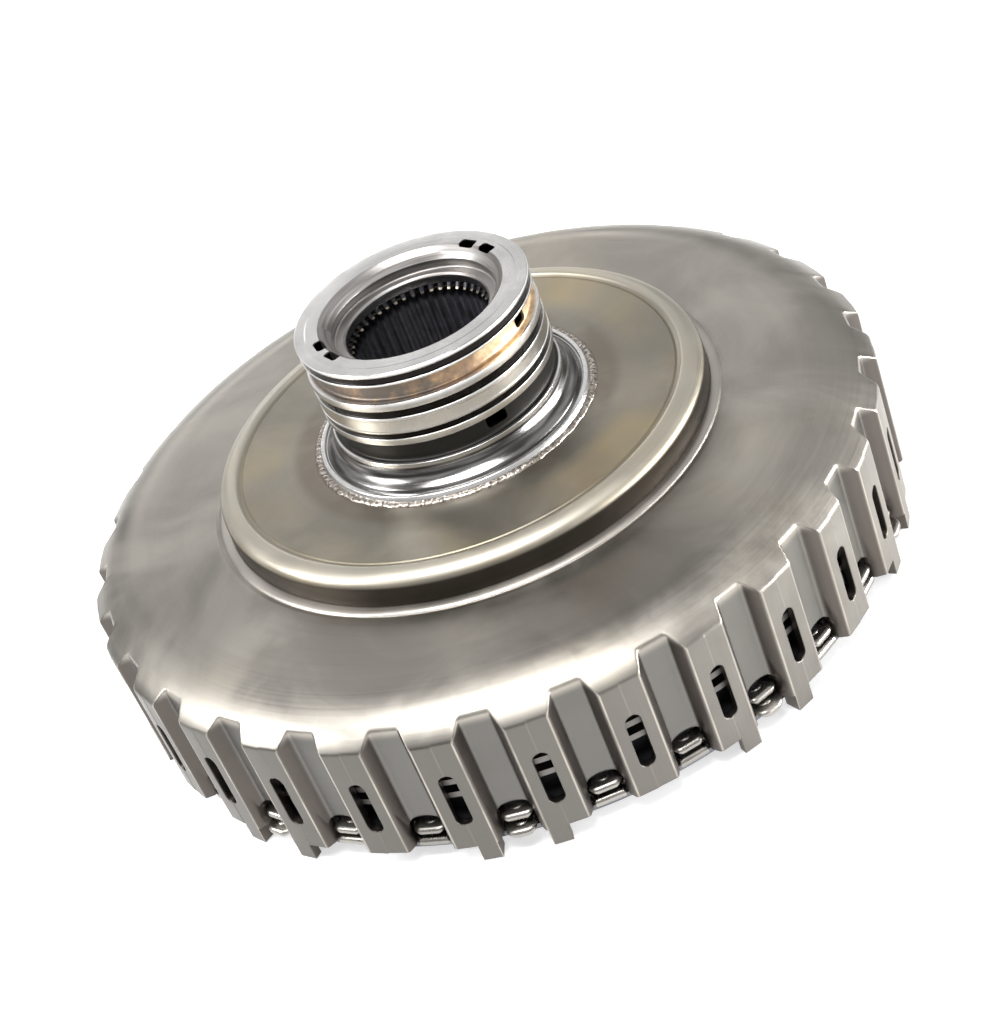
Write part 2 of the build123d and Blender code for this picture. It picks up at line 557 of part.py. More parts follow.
# inner carrier with its hub for the hollow shaft
K2_WEB_LOW, K2_WEB_TOP = 12.6, 14.8
K2_HUB_R, K2_FLANGE_R = 21.3, 25.0
with BuildPart() as k2_inner_carrier:
    with BuildSketch(Plane.XY.offset(K2_WEB_LOW)):
        with BuildLine():
            toothed_line(*K2_CREST)
        make_face()
        Circle(62.0, mode=Mode.SUBTRACT)
    extrude(amount=30.4 - K2_WEB_LOW)
    with BuildSketch(Plane.XY.offset(K2_WEB_LOW)):
        Circle(62.0)
        Circle(K2_FLANGE_R, mode=Mode.SUBTRACT)
    extrude(amount=K2_WEB_TOP - K2_WEB_LOW)
finish(k2_inner_carrier, "k2_inner_carrier")
with BuildPart() as k2_shaft_hub:
    with BuildSketch(Plane.XZ):
        with BuildLine():
            Polyline(
                (18.3, K2_WEB_LOW), (K2_FLANGE_R, K2_WEB_LOW), (K2_FLANGE_R, K2_WEB_TOP),
                (K2_HUB_R, K2_WEB_TOP), (K2_HUB_R, 33.8), (14.2, 33.8), (14.2, 17.4), (18.3, 17.4),
                close=True,
            )
        make_face()
    revolve(axis=Axis.Z)
    splined_bore(15.4, 13.9, 28, 17.4, 33.8)
finish(k2_shaft_hub, "k2_shaft_hub")

# ================================================================ rolling bearings
THRUST_R, THRUST_ROLLERS, THRUST_ROLLER_R, THRUST_Z = 30.0, 24, 0.85, 16.5
NEEDLE_CIRCLE_R, NEEDLES, NEEDLE_R = 22.9, 18, 1.3
ring("thrust_race", 25.4, 35.0, K2_WEB_TOP, 15.5)
with BuildPart() as thrust_bearing:
    with BuildSketch(Plane.XY.offset(THRUST_Z - 0.4)):
        Circle(33.2)
        Circle(26.2, mode=Mode.SUBTRACT)
        with PolarLocations(THRUST_R, THRUST_ROLLERS):
            Rectangle(5.4, 2 * THRUST_ROLLER_R + 0.2, mode=Mode.SUBTRACT)
    extrude(amount=0.8)
    with PolarLocations(THRUST_R, THRUST_ROLLERS):
        with Locations((0, 0, THRUST_Z)):
            Cylinder(THRUST_ROLLER_R, 5.0, rotation=(0, 90, 0))
finish(thrust_bearing, "thrust_bearing")
with BuildPart() as needle_bearing:
    with BuildSketch(Plane.XY.offset(21.0)):
        Circle(23.9)
        Circle(21.9, mode=Mode.SUBTRACT)
    extrude(amount=11.0)
    with BuildSketch(Plane.XY.offset(22.2)):
        with PolarLocations(NEEDLE_CIRCLE_R, NEEDLES):
            Rectangle(3.4, 2 * NEEDLE_R + 0.2)
    extrude(amount=8.6, mode=Mode.SUBTRACT)
    with PolarLocations(NEEDLE_CIRCLE_R, NEEDLES):
        with Locations((0, 0, 26.5)):
            Cylinder(NEEDLE_R, 8.2)
finish(needle_bearing, "needle_bearing")
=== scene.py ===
import json
from math import asin, atan2, cos, hypot, pi, radians, sin, sqrt, tan

import bmesh
import bpy
from mathutils import Matrix, Vector


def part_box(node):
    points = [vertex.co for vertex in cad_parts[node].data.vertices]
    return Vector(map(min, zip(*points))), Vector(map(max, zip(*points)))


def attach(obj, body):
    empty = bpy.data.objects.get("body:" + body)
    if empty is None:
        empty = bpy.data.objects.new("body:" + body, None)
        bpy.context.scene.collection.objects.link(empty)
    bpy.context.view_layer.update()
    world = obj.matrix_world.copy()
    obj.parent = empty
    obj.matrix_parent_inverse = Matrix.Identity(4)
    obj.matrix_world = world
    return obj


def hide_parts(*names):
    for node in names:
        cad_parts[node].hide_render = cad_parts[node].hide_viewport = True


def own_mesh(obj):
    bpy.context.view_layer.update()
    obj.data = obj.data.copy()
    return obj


# Wet dual-clutch module. Lengths below are millimetres in the row frame; MM turns them into metres.
MM = 0.001
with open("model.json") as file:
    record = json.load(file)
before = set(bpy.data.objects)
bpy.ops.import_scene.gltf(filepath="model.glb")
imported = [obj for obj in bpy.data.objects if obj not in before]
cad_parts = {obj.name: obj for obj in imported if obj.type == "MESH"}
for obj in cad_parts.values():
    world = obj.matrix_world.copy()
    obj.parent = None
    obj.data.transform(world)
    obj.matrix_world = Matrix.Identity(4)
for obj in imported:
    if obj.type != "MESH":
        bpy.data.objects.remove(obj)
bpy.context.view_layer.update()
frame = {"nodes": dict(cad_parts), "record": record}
nodes = frame["nodes"]


def low_z(node):
    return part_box(node)[0][2] / MM


def top_z(node):
    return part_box(node)[1][2] / MM


# ---------------------------------------------------------------- sizes shared with the frame
LANDS = 30
PITCH = 360 / LANDS
SHEET = 2.5
LAND_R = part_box("outer_drum")[1][0] / MM
FLANGE_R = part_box("hub_flange")[1][0] / MM
LAND_HALF = 2.9
FLOOR_R = 113.6
FLOOR_HALF = 2.0
FACE_Z = top_z("outer_drum") - 0.5
STEP_R = FLANGE_R + 3.1
SHOULDER_R, SHOULDER_ARC = 99.0, 26.6
LAND_BOTTOM = 5.4
WINDOW_W, WINDOW_LOW, WINDOW_TOP = 4.5, 13.6, 31.4
ARCH_HALF, ARCH_SPRING, ARCH_TOP = 4.9, 11.6, 14.5
TAB_FROM, TAB_TO = 0.1, 2.7
FLANGE_Z = top_z("hub_flange")
DISC_Z = FLANGE_Z - 0.6
HUB_TOP = top_z("feed_hub")
HUB_BASE_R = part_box("feed_hub")[1][0] / MM
JOURNAL_R = 34.0
SPLINE_TOP = 89.2
RING_GROOVES = ((94.5, 96.6), (83.2, 85.6), (76.2, 78.0))  # lower and upper edge of each
RING_FLOOR_R = 31.2


# ================================================================ mesh helpers
def polar(radius, angle, z=0.0):
    return (radius * cos(radians(angle)), radius * sin(radians(angle)), z)


def round_corners(points, radii, steps):
    """A closed outline with each corner replaced by an arc of steps + 1 points."""
    result = []
    count = len(points)
    for index, (point, radius) in enumerate(zip(points, radii)):
        here = Vector(point)
        back = Vector(points[index - 1]) - here
        ahead = Vector(points[(index + 1) % count]) - here
        half = back.angle(ahead) / 2
        back_way, ahead_way = back.normalized(), ahead.normalized()
        straight = half > radians(89.5)
        reach = 0.05 if straight else radius / tan(half)
        reach = min(reach, 0.45 * back.length, 0.45 * ahead.length)
        start, end = here + back_way * reach, here + ahead_way * reach
        radius = reach * tan(half)
        centre = here if straight else here + (back_way + ahead_way).normalized() * hypot(reach, radius)
        for step in range(steps + 1):
            chord = start.lerp(end, step / steps)
            result.append(chord if straight else centre + (chord - centre).normalized() * radius)
    return result


def make_object(name, vertices, faces, material, sharp=32):
    mesh = bpy.data.meshes.new(name)
    mesh.from_pydata([Vector(vertex) * MM for vertex in vertices], [], faces)
    mesh.update()
    shade(mesh, sharp)
    thing = bpy.data.objects.new(name, mesh)
    bpy.context.scene.collection.objects.link(thing)
    mesh.materials.append(material)
    return thing


def shade(mesh, sharp=32):
    mesh.polygons.foreach_set("use_smooth", [True] * len(mesh.polygons))
    mesh.set_sharp_from_angle(angle=radians(sharp))
    mesh.update()


def grid_faces(rows, columns):
    """Quads over a grid that is closed both ways."""
    faces = []
    for row in range(rows):
        for column in range(columns):
            right, up = (column + 1) % columns, (row + 1) % rows
            low, high = row * columns, up * columns
            faces.append((low + column, low + right, high + right, high + column))
    return faces


def lathe(name, section, radii, material, segments=300, steps=4, sharp=32):
    """A closed (radius, height) section turned about Z, its corners rounded by radii."""
    outline = round_corners([(r, z) for r, z in section], radii, steps)
    vertices = []
    for row in range(segments):
        angle = 360 * row / segments
        vertices += [polar(point[0], angle, point[1]) for point in outline]
    return make_object(name, vertices, grid_faces(segments, len(outline)), material, sharp)


def prism(outline, low, high):
    """Vertices and faces of a closed (x, y) outline drawn up from low to high."""
    count = len(outline)
    vertices = [(x, y, low) for x, y in outline] + [(x, y, high) for x, y in outline]
    faces = [tuple(reversed(range(count))), tuple(range(count, 2 * count))]
    faces += [(i, (i + 1) % count, count + (i + 1) % count, count + i) for i in range(count)]
    return vertices, faces


def wall_prism(outline, angle, inner_r, outer_r):
    """A closed (across, height) outline on the wall at angle, drawn outward from inner_r to outer_r."""
    turn = Matrix.Rotation(radians(angle), 3, "Z")
    count = len(outline)
    vertices = [
        turn @ Vector((radius, across, z)) for radius in (inner_r, outer_r) for across, z in outline
    ]
    faces = [tuple(reversed(range(count))), tuple(range(count, 2 * count))]
    faces += [(i, (i + 1) % count, count + (i + 1) % count, count + i) for i in range(count)]
    return vertices, faces


def cut(thing, solids):
    """Takes the solids, each (vertices, faces), out of thing and keeps the result as its mesh."""
    vertices, faces = [], []
    for more_vertices, more_faces in solids:
        start = len(vertices)
        vertices += [Vector(vertex) * MM for vertex in more_vertices]
        faces += [tuple(start + index for index in face) for face in more_faces]
    mesh = bpy.data.meshes.new("cutter")
    mesh.from_pydata(vertices, [], faces)
    work = bmesh.new()
    work.from_mesh(mesh)
    bmesh.ops.recalc_face_normals(work, faces=work.faces)
    work.to_mesh(mesh)
    work.free()
    cutter = bpy.data.objects.new("cutter", mesh)
    bpy.context.scene.collection.objects.link(cutter)
    boolean = thing.modifiers.new("cut", "BOOLEAN")
    boolean.operation = "DIFFERENCE"
    boolean.solver = "MANIFOLD"
    boolean.object = cutter
    depsgraph = bpy.context.evaluated_depsgraph_get()
    result = bpy.data.meshes.new_from_object(thing.evaluated_get(depsgraph))
    thing.modifiers.clear()
    thing.data = result
    bpy.data.objects.remove(cutter)
    shade(result)


# ================================================================ material helpers
class Nodes:
    """Short names for building one procedural metal."""

    def __init__(self, name):
        self.material = bpy.data.materials.new(name)
        self.material.use_nodes = True
        self.tree = self.material.node_tree
        self.shader = self.tree.nodes["Principled BSDF"]
        self.place = self.add("ShaderNodeTexCoord").outputs["Object"]

    def add(self, kind, **settings):
        node = self.tree.nodes.new(kind)
        for key, value in settings.items():
            setattr(node, key, value)
        return node

    def link(self, source, target):
        self.tree.links.new(source, target)

    def math(self, operation, first, second=None, clamp=False):
        node = self.add("ShaderNodeMath", operation=operation, use_clamp=clamp)
        for socket, value in zip(node.inputs, (first, second)):
            if value is None:
                continue
            if isinstance(value, (int, float)):
                socket.default_value = value
            else:
                self.link(value, socket)
        return node.outputs[0]

    def cylinder(self):
        """Radius, angle and height of the shaded point, in millimetres and radians."""
        split = self.add("ShaderNodeSeparateXYZ")
        self.link(self.place, split.inputs[0])
        x, y, z = split.outputs
        radius = self.math("SQRT", self.math("ADD", self.times(x, x), self.times(y, y)))
        return (
            self.math("MULTIPLY", radius, 1000.0),
            self.math("ARCTAN2", y, x),
            self.math("MULTIPLY", z, 1000.0),
        )

    def times(self, *values):
        """The product of two or more values."""
        product = values[0]
        for value in values[1:]:
            product = self.math("MULTIPLY", product, value)
        return product

    def sideways(self):
        """1 on faces that look along the rim, 0 on those that look outward or upward."""
        normal = self.add("ShaderNodeSeparateXYZ")
        self.link(self.add("ShaderNodeNewGeometry").outputs["True Normal"], normal.inputs[0])
        split = self.add("ShaderNodeSeparateXYZ")
        self.link(self.place, split.inputs[0])
        facing_x, facing_y = normal.outputs[:2]
        x, y = split.outputs[:2]
        along = self.math("SUBTRACT", self.times(facing_y, x), self.times(facing_x, y))
        across = self.math("ADD", self.times(facing_x, x), self.times(facing_y, y))
        return self.math("ABSOLUTE", self.math("SINE", self.math("ARCTAN2", along, across)))

    def vector(self, x, y, z):
        node = self.add("ShaderNodeCombineXYZ")
        for socket, value in zip(node.inputs, (x, y, z)):
            if isinstance(value, (int, float)):
                socket.default_value = value
            else:
                self.link(value, socket)
        return node.outputs[0]

    def noise(self, scale, detail=4.0, rough=0.55, vector=None, distortion=0.0):
        node = self.add("ShaderNodeTexNoise")
        node.inputs["Scale"].default_value = scale
        node.inputs["Detail"].default_value = detail
        node.inputs["Roughness"].default_value = rough
        node.inputs["Distortion"].default_value = distortion
        self.link(vector if vector is not None else self.place, node.inputs["Vector"])
        return node.outputs["Fac"]

    def ramp(self, value, stops):
        """A colour or grey ramp; each stop is (position, grey) or (position, (r, g, b))."""
        node = self.add("ShaderNodeValToRGB")
        points = node.color_ramp.elements
        while len(points) < len(stops):
            points.new(0.5)
        for point, (position, colour) in zip(points, stops):
            point.position = position
            colour = (colour,) * 3 if isinstance(colour, (int, float)) else colour
            point.color = (*colour, 1.0)
        self.link(value, node.inputs["Fac"])
        return node.outputs["Color"]

    def span(self, value, low, high, start=0.0, end=1.0):
        """value from low..high to start..end, smooth and held at both ends."""
        node = self.add("ShaderNodeMapRange", interpolation_type="SMOOTHSTEP")
        for socket, number in zip(node.inputs[1:5], (low, high, start, end)):
            socket.default_value = number
        self.link(value, node.inputs[0])
        return node.outputs[0]

    def mix(self, factor, first, second, blend="MIX"):
        node = self.add("ShaderNodeMix", data_type="RGBA", blend_type=blend)
        for socket, value in zip((node.inputs[0], node.inputs[6], node.inputs[7]), (factor, first, second)):
            if isinstance(value, (int, float)):
                socket.default_value = value
            elif isinstance(value, tuple):
                socket.default_value = (*value, 1.0)
            else:
                self.link(value, socket)
        return node.outputs[2]

    def band(self, value, low, high, soft):
        """1 between low and high, falling to 0 over soft on each side."""
        rise = self.span(value, low - soft, low)
        fall = self.span(value, high, high + soft, 1.0, 0.0)
        return self.math("MULTIPLY", rise, fall)

    def finish(self, colour, roughness, bump=None, distance=0.02, strength=0.5, metallic=1.0,
               round_edges=0.0):
        if isinstance(colour, tuple):
            self.shader.inputs["Base Color"].default_value = (*colour, 1.0)
        else:
            self.link(colour, self.shader.inputs["Base Color"])
        if isinstance(roughness, float):
            self.shader.inputs["Roughness"].default_value = roughness
        else:
            self.link(roughness, self.shader.inputs["Roughness"])
        self.shader.inputs["Metallic"].default_value = metallic
        normal = None
        if round_edges:
            bevel = self.add("ShaderNodeBevel", samples=6)
            bevel.inputs["Radius"].default_value = round_edges * MM
            normal = bevel.outputs[0]
        if bump is not None:
            node = self.add("ShaderNodeBump")
            node.inputs["Distance"].default_value = distance * MM
            node.inputs["Strength"].default_value = strength
            self.link(bump, node.inputs["Height"])
            if normal:
                self.link(normal, node.inputs["Normal"])
            normal = node.outputs[0]
        if normal:
            self.link(normal, self.shader.inputs["Normal"])
        return self.material


# ================================================================ materials
def formed_steel(name, light, dark, rough=(0.30, 0.46), stain=(0.42, 0.34, 0.22), stain_amount=0.15):
    """Satin formed sheet: fine turning rings, soft cloudy patches and a little oil stain."""
    n = Nodes(name)
    radius, angle, height = n.cylinder()
    turned = n.vector(n.times(radius, 3.0), n.times(height, 3.0), n.times(angle, 1.2))
    rings = n.noise(1.0, 3.0, 0.6, turned)
    cloud = n.noise(22.0, 5.0, 0.6, distortion=0.8)
    spots = n.noise(160.0, 3.0, 0.7)
    tone = n.mix(n.span(cloud, 0.35, 0.68), dark, light)
    tone = n.mix(0.35, tone, n.ramp(rings, ((0.3, 0.78), (0.7, 1.0))), "MULTIPLY")
    tone = n.mix(n.times(n.span(n.noise(11.0, 4.0), 0.52, 0.72), stain_amount), tone, stain)
    tone = n.mix(n.times(n.span(spots, 0.62, 0.78), 0.12), tone, (0.2, 0.18, 0.15))
    sheen = n.math("ADD", n.span(cloud, 0.3, 0.7, rough[0], rough[1]), n.span(rings, 0.3, 0.7, -0.03, 0.03))
    relief = n.math("ADD", n.times(rings, 0.6), n.times(spots, 0.6))
    return n, tone, sheen, relief


def drum_material():
    n, tone, sheen, relief = formed_steel("drum_steel", (0.40, 0.375, 0.335), (0.30, 0.28, 0.25))
    radius, angle, height = n.cylinder()
    ring_line = n.band(radius, 97.2, 98.2, 1.0)
    tone = n.mix(n.times(ring_line, 0.25), tone, (0.33, 0.30, 0.27))
    # the opening's rim was heated by the weld
    patchy = n.span(n.noise(30.0, 3.0), 0.35, 0.65)
    rim = n.times(n.band(radius, STEP_R + 0.2, STEP_R + 0.9, 0.5), patchy)
    tone = n.mix(n.times(rim, 0.5), tone, (0.13, 0.105, 0.085))
    # painted highlight: the rounded collar round the opening is made lighter
    collar = n.band(radius, FLANGE_R + 0.6, STEP_R - 0.2, 0.3)
    tone = n.mix(n.times(collar, 0.6), tone, (0.46, 0.43, 0.395))
    # two soft dark sectors of painted reflection cross the turned face
    face = n.band(radius, STEP_R + 4.0, 103.0, 5.0)
    for middle, edge_cos, depth in ((1.1, 0.86, 0.42), (2.65, 0.94, 0.2)):
        sector = n.span(n.math("COSINE", n.math("ADD", angle, middle)), edge_cos, 0.998)
        tone = n.mix(n.times(sector, face, depth), tone, (0.03, 0.028, 0.025))
    # drawing marks run down the wall
    down = n.vector(n.times(angle, 420.0), n.times(height, 0.05), 0.0)
    lines = n.noise(1.0, 2.0, 0.5, down)
    on_wall = n.times(n.span(radius, 112.0, 113.2), n.span(height, 42.0, 45.0, 1.0, 0.0))
    drawn = n.ramp(lines, ((0.35, 0.72), (0.65, 1.0)))
    tone = n.mix(n.times(on_wall, 0.3), tone, drawn, "MULTIPLY")
    # painted shade on the wall, heaviest round one side of it
    painted_wall_shade = n.span(n.math("COSINE", n.math("ADD", angle, 2.1)), 0.1, 0.95, 0.42, 0.90)
    tone = n.mix(n.times(on_wall, painted_wall_shade), tone, (0.115, 0.109, 0.099))
    # painted shade: the valley floors a shade darker
    floor = n.times(on_wall, n.span(radius, 114.5, 116.5, 1.0, 0.0))
    tone = n.mix(n.times(floor, 0.6), tone, (0.14, 0.137, 0.13))
    # painted shade: the flanks dark, in a pinkish tone
    flank = n.times(on_wall, n.span(n.sideways(), 0.45, 0.8))
    tone = n.mix(n.times(flank, 0.75), tone, (0.088, 0.074, 0.066))
    # painted highlight along the lands' outer edges, broken up like wear
    corner = n.times(n.band(n.sideways(), 0.10, 0.42, 0.08), n.span(radius, LAND_R - 1.3, LAND_R - 0.6))
    from_middle = n.math("PINGPONG", angle, radians(PITCH / 2))
    off_middle = n.span(from_middle, radians(0.6), radians(0.9), 0.12, 1.0)
    wear_and_highlight = n.span(n.noise(70.0, 3.0), 0.35, 0.6, 0.45, 1.0)
    tone = n.mix(n.times(corner, off_middle, wear_and_highlight, on_wall, 0.7), tone, (0.55, 0.50, 0.44))
    relief = n.math("ADD", relief, n.times(n.times(lines, on_wall), 0.8))
    return n.finish(tone, sheen, relief, 0.02, 0.5, round_edges=0.6)


def flange_material():
    light, dark = (0.315, 0.29, 0.245), (0.235, 0.217, 0.182)
    n, tone, sheen, relief = formed_steel("flange_steel", light, dark, (0.36, 0.47))
    radius, _, height = n.cylinder()
    # straw-coloured heat tint round the outer part of the disc, uneven in angle
    uneven = n.span(n.noise(9.0, 3.0, distortion=0.6), 0.38, 0.62)
    tint = n.times(n.band(radius, 56.0, 68.0, 8.0), uneven)
    tone = n.mix(n.times(tint, 0.5), tone, (0.55, 0.42, 0.20))
    # painted highlight: the crest is made lighter
    crest = n.band(radius, FLANGE_R - 6.1, FLANGE_R - 1.8, 1.6)
    tone = n.mix(n.times(crest, 0.6), tone, (0.56, 0.53, 0.46))
    groove = n.band(radius, FLANGE_R - 7.6, FLANGE_R - 6.6, 0.5)
    tone = n.mix(n.times(groove, 0.45), tone, (0.20, 0.17, 0.12))
    # oxide round the hub, and painted shade on the wall below the crest
    oxide = n.times(n.band(radius, 42.0, 46.5, 4.0), n.span(n.noise(40.0, 3.0), 0.35, 0.6))
    tone = n.mix(n.times(oxide, 0.6), tone, (0.16, 0.13, 0.10))
    below = n.span(height, FLANGE_Z - 3.4, FLANGE_Z - 2.2, 1.0, 0.0)
    wall = n.times(n.span(radius, FLANGE_R - 1.6, FLANGE_R - 0.9), below)
    tone = n.mix(n.times(wall, 0.95), tone, (0.04, 0.034, 0.028))
    return n.finish(tone, sheen, relief, 0.018, 0.5)


def ground_material():
    """Ground and polished steel of the feed hub: burnt oil in its first groove, its lower groove darkened,
    painted shade in its ring grooves, end slots and drillings, painted dark reflections on its mouth and
    flare.
    """
    n = Nodes("ground_steel")
    radius, angle, height = n.cylinder()
    around = n.vector(n.times(radius, 9.0), n.times(height, 9.0), angle)
    fine = n.noise(1.0, 2.0, 0.5, around)
    cloud = n.noise(60.0, 4.0, 0.6)
    tone = n.mix(n.span(cloud, 0.35, 0.7), (0.66, 0.65, 0.64), (0.78, 0.77, 0.755))
    tone = n.mix(0.25, tone, n.ramp(fine, ((0.3, 0.7), (0.7, 1.0))), "MULTIPLY")
    outside = n.span(radius, 29.5, 30.5)
    first = n.times(n.band(height, 88.3, 93.5, 0.3), n.span(radius, 33.2, 33.8, 1.0, 0.0), outside)
    # burnt oil in the first groove: brown at the front, amber towards +X
    mottle = n.math("ADD", n.noise(90.0, 6.0, 0.7), n.span(angle, -1.9, -0.5, -0.14, 0.10))
    brown, copper, amber = (0.07, 0.045, 0.025), (0.30, 0.165, 0.065), (0.80, 0.60, 0.34)
    burnt = n.ramp(mottle, ((0.34, brown), (0.50, copper), (0.68, amber)))
    tone = n.mix(n.times(first, 0.85), tone, burnt)
    # the lower groove is darkened to near-black
    grooves = n.times(n.band(height, 67.7, 74.0, 0.3), n.span(radius, 33.3, 33.8, 1.0, 0.0), outside)
    tone = n.mix(n.times(grooves, 0.97), tone, (0.012, 0.011, 0.009))
    # painted shade: the faces of the ring grooves are darkened
    recessed = n.times(n.span(radius, 33.0, 33.7, 1.0, 0.0), outside)
    for low, high in RING_GROOVES:
        slot = n.times(n.band(height, low + 0.1, high - 0.1, 0.1), recessed)
        tone = n.mix(n.times(slot, 0.9), tone, (0.04, 0.035, 0.03))
    # painted shade: the walls of the end slots are painted black
    slot_depth = n.band(height, HUB_TOP - 4, HUB_TOP - 0.5, 0.1)
    slots = n.times(n.band(radius, 26.9, 29.5, 0.1), slot_depth)
    tone = n.mix(slots, tone, (0.006, 0.006, 0.006))
    # painted shade: the walls of the oil drillings are painted black
    ports = n.times(n.band(radius, 27.3, 31.0, 0.1), n.band(height, 66.0, 94.0, 0.2))
    tone = n.mix(ports, tone, (0.006, 0.006, 0.006))
    # painted reflection: the mouth is darkened in soft bands
    mouth = n.times(n.span(radius, 26.9, 27.2, 1.0, 0.0), n.span(height, 91.0, 91.5))
    turned = n.noise(1.0, 2.0, 0.5, n.vector(n.times(angle, 0.8), n.times(height, 0.9), 0.0))
    dimmed = n.times(mouth, n.span(turned, 0.38, 0.62, 0.65, 0.95))
    tone = n.mix(dimmed, tone, (0.19, 0.175, 0.165))
    # painted reflection: soft dark bands across the flare
    flare_bands = n.noise(1.0, 1.0, 0.4, n.vector(n.times(angle, 2.4), n.times(height, 0.9), 0.0))
    flare = n.times(n.band(height, 60.2, 66.0, 0.5), n.span(radius, 38.1, 38.5, 1.0, 0.0), outside)
    flare_dark_reflection = n.times(flare, n.span(flare_bands, 0.34, 0.66, 0.62, 0.95))
    tone = n.mix(flare_dark_reflection, tone, (0.05, 0.047, 0.044))
    sheen = n.math("ADD", n.span(cloud, 0.3, 0.7, 0.16, 0.22), n.span(fine, 0.3, 0.7, -0.02, 0.06))
    sheen = n.math("ADD", sheen, n.times(n.math("MAXIMUM", first, grooves), 0.22))
    sheen = n.math("ADD", sheen, n.times(mouth, 0.18))
    return n.finish(tone, sheen, fine, 0.008, 0.35)


def plain_metal(name, colour, roughness, scale=90.0, relief=0.02, metallic=1.0, contrast=0.75):
    n = Nodes(name)
    grain = n.noise(scale, 5.0, 0.65)
    patches = n.noise(scale / 6, 3.0)
    dark = tuple(channel * contrast for channel in colour)
    tone = n.mix(n.span(patches, 0.35, 0.65), dark, colour)
    tone = n.mix(0.3, tone, n.ramp(grain, ((0.35, 0.7), (0.65, 1.0))), "MULTIPLY")
    sheen = n.span(grain, 0.3, 0.7, max(roughness - 0.08, 0.05), roughness + 0.08)
    return n.finish(tone, sheen, grain, relief, 0.5, metallic)


def weld_material():
    n = Nodes("weld_steel")
    radius, angle, height = n.cylinder()
    scales = n.vector(n.times(angle, 60.0), n.times(radius, 0.8), height)
    ripple = n.noise(1.0, 3.0, 0.6, scales)
    grain = n.noise(300.0, 3.0, 0.7)
    burnt, dimmed, bright = (0.05, 0.04, 0.035), (0.34, 0.30, 0.26), (0.72, 0.69, 0.64)
    tone = n.ramp(ripple, ((0.32, burnt), (0.5, dimmed), (0.68, bright)))
    tone = n.mix(n.times(n.span(grain, 0.55, 0.75), 0.5), tone, (0.12, 0.10, 0.08))
    return n.finish(tone, n.span(ripple, 0.3, 0.7, 0.45, 0.22), n.math("ADD", ripple, grain), 0.12, 0.8)


def lining_material():
    n = Nodes("friction_paper")
    fibre = n.noise(420.0, 6.0, 0.75, distortion=1.5)
    tone = n.ramp(fibre, ((0.3, (0.10, 0.07, 0.045)), (0.7, (0.26, 0.19, 0.12))))
    return n.finish(tone, n.span(fibre, 0.3, 0.7, 0.75, 0.95), fibre, 0.05, 0.7, metallic=0.0)


MATERIALS = {
    "drum_steel": drum_material(),
    "flange_steel": flange_material(),
    "weld_steel": weld_material(),
    "ground_steel": ground_material(),
    "ring_iron": plain_metal("ring_iron", (0.022, 0.020, 0.019), 0.24, 200.0, 0.01),
    "plate_steel": plain_metal("plate_steel", (0.18, 0.17, 0.16), 0.42, 140.0, 0.02),
    "dark_steel": plain_metal("dark_steel", (0.045, 0.045, 0.05), 0.55, 220.0, 0.03, 0.7),
    "carrier_steel": plain_metal("carrier_steel", (0.46, 0.45, 0.43), 0.38, 110.0, 0.02),
    "spring_steel": plain_metal("spring_steel", (0.22, 0.22, 0.24), 0.30, 160.0, 0.01),
    "core_steel": plain_metal("core_steel", (0.50, 0.49, 0.47), 0.34, 130.0, 0.02),
    "friction_paper": lining_material(),
    "seal_rubber": plain_metal("seal_rubber", (0.018, 0.018, 0.019), 0.55, 500.0, 0.01, 0.0),
    "washer_polymer": plain_metal("washer_polymer", (0.30, 0.25, 0.17), 0.5, 260.0, 0.02, 0.0),
}


def spline_material():
    """Blue-black phosphated teeth with painted shade over their upper part and rubbed bright tips."""
    n = Nodes("spline_black")
    height = n.cylinder()[2]
    grain = n.noise(240.0, 4.0, 0.65)
    tone = n.ramp(grain, ((0.3, (0.16, 0.16, 0.18)), (0.7, (0.26, 0.26, 0.29))))
    # painted shade: the upper part of the teeth darkened almost to black
    tone = n.mix(n.span(height, SPLINE_TOP - 5.0, SPLINE_TOP - 3.0, 0.0, 0.93), tone, (0.012, 0.012, 0.014))
    rubbed = n.band(height, SPLINE_TOP - 1.55, SPLINE_TOP - 1.2, 0.12)
    rubbed = n.times(rubbed, n.span(n.noise(170.0, 1.0), 0.42, 0.62, 0.1, 1.0))
    tone = n.mix(rubbed, tone, (0.36, 0.31, 0.24))
    return n.finish(tone, n.span(grain, 0.3, 0.7, 0.28, 0.42), grain, 0.02, 0.5, 0.9)


for subpart in frame["record"]["subparts"]:
    thing = nodes[subpart["node"]]
    if not thing.material_slots:
        thing.data.materials.append(None)
    for slot in thing.material_slots:
        slot.material = MATERIALS[subpart["material_slot"]]


# ================================================================ outer drum
DRUM = MATERIALS["drum_steel"]
LAND_STEP = 0.16               # the two halves of a land differ by this much, a mark of the forming tool
LIP = 1.7                      # radius where the shoulder turns down into the wall


def wall_corners(land_r, land_half, floor_r, floor_half, land_round, floor_round, step):
    """Corner points of the folded wall, and the radius at each."""
    points, radii = [], []
    for index in range(LANDS):
        middle = PITCH * index
        valley = middle + PITCH / 2
        for radius, angle, rounding in (
            (land_r, middle - land_half, land_round),
            (land_r, middle - 0.08, 0.1),
            (land_r - step, middle + 0.08, 0.1),
            (land_r - step, middle + land_half, land_round),
            (floor_r, valley - floor_half, floor_round),
            (floor_r, valley + floor_half, floor_round),
        ):
            points.append(polar(radius, angle)[:2])
            radii.append(rounding)
    return points, radii


